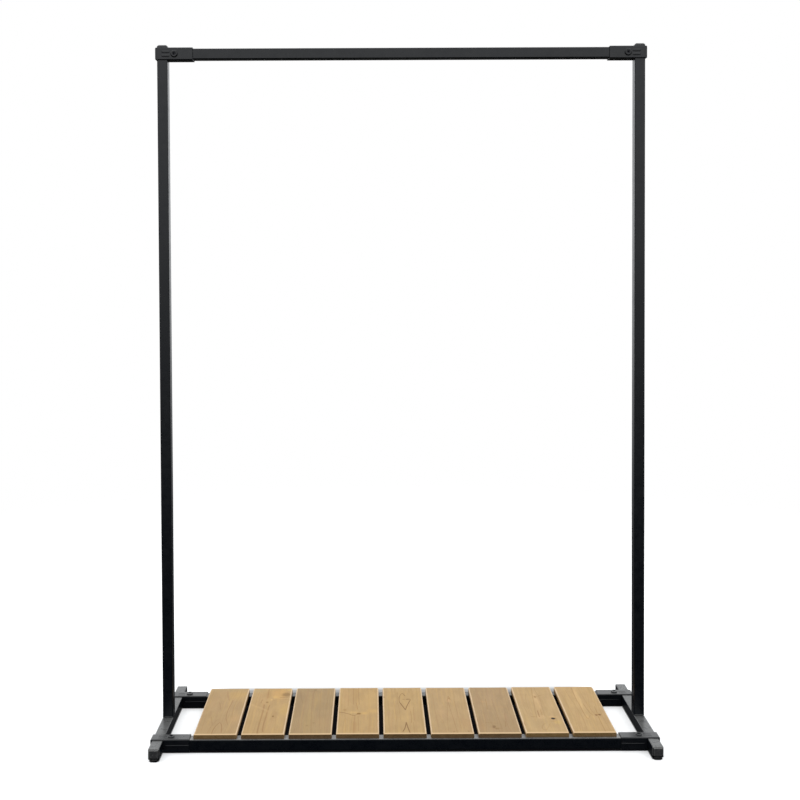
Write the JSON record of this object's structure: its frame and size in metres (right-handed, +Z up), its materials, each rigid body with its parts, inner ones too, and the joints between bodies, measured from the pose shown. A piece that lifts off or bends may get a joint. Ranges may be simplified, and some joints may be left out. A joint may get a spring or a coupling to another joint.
{
  "type": "clothes rack",
  "caption": "Free-standing square-tube clothes rack with a height-adjustable hanging rail, cast T-clamps and a low slatted wooden shelf.",
  "frame": {"origin": "on the floor, in the middle of the rack, between the two uprights", "axes": "+Z up along the uprights; X along the hanging rail, +X to the right when seen from the front; -Y is the front, where the clamps' set screws at the top face"},
  "size_m": [1.169, 0.364, 1.642],
  "materials": {
    "powder_coated_steel": "fine matt black powder coat",
    "cast_clamp": "matt black coated casting",
    "black_plastic": "satin moulded black plastic",
    "blackened_screw": "black oxide",
    "zinc_screw": "zinc plated",
    "weld": "weld bead under matt black powder coat",
    "softwood": "planed softwood, light brown stain, satin"
  },
  "bodies": {
    "frame": {"foot_clamp_lock_screws": "blackened_screw", "front_board_screws": "zinc_screw", "front_left_clamp": "cast_clamp", "front_left_foot_cap": "black_plastic", "front_right_clamp": "cast_clamp", "front_right_foot_cap": "black_plastic", "front_shelf_rail": "powder_coated_steel", "left_foot_rail": "powder_coated_steel", "left_upright": "powder_coated_steel", "left_upright_cap": "black_plastic", "left_weld_bead": "weld", "rear_board_screws": "zinc_screw", "rear_left_clamp": "cast_clamp", "rear_left_foot_cap": "black_plastic", "rear_right_clamp": "cast_clamp", "rear_right_foot_cap": "black_plastic", "rear_shelf_rail": "powder_coated_steel", "right_foot_rail": "powder_coated_steel", "right_upright": "powder_coated_steel", "right_upright_cap": "black_plastic", "right_weld_bead": "weld", "shelf_board_1": "softwood", "shelf_board_2": "softwood", "shelf_board_3": "softwood", "shelf_board_4": "softwood", "shelf_board_5": "softwood", "shelf_board_6": "softwood", "shelf_board_7": "softwood", "shelf_board_8": "softwood", "shelf_board_9": "softwood", "shelf_rail_set_screws": "blackened_screw"},
    "hanging_rail_carriage": {"hanging_rail": "powder_coated_steel", "top_left_clamp": "cast_clamp", "top_right_clamp": "cast_clamp", "hanging_rail_set_screws": "blackened_screw"},
    "left_height_lock": {"left_height_lock_screw": "blackened_screw"},
    "right_height_lock": {"right_height_lock_screw": "blackened_screw"}
  },
  "joints": [
    {"name": "rail_height", "type": "slide", "parent": "frame", "child": "hanging_rail_carriage", "axis": [0, 0, 1], "range_m": [-1.55, 0]},
    {"name": "left_lock_turn", "type": "hinge", "parent": "hanging_rail_carriage", "child": "left_height_lock", "pos_m": [-0.5675, 0, 1.6205], "axis": [-1, 0, 0], "range_deg": [0, 540]},
    {"name": "right_lock_turn", "type": "hinge", "parent": "hanging_rail_carriage", "child": "right_height_lock", "pos_m": [0.5675, 0, 1.6205], "axis": [1, 0, 0], "range_deg": [0, 540]}
  ]
}
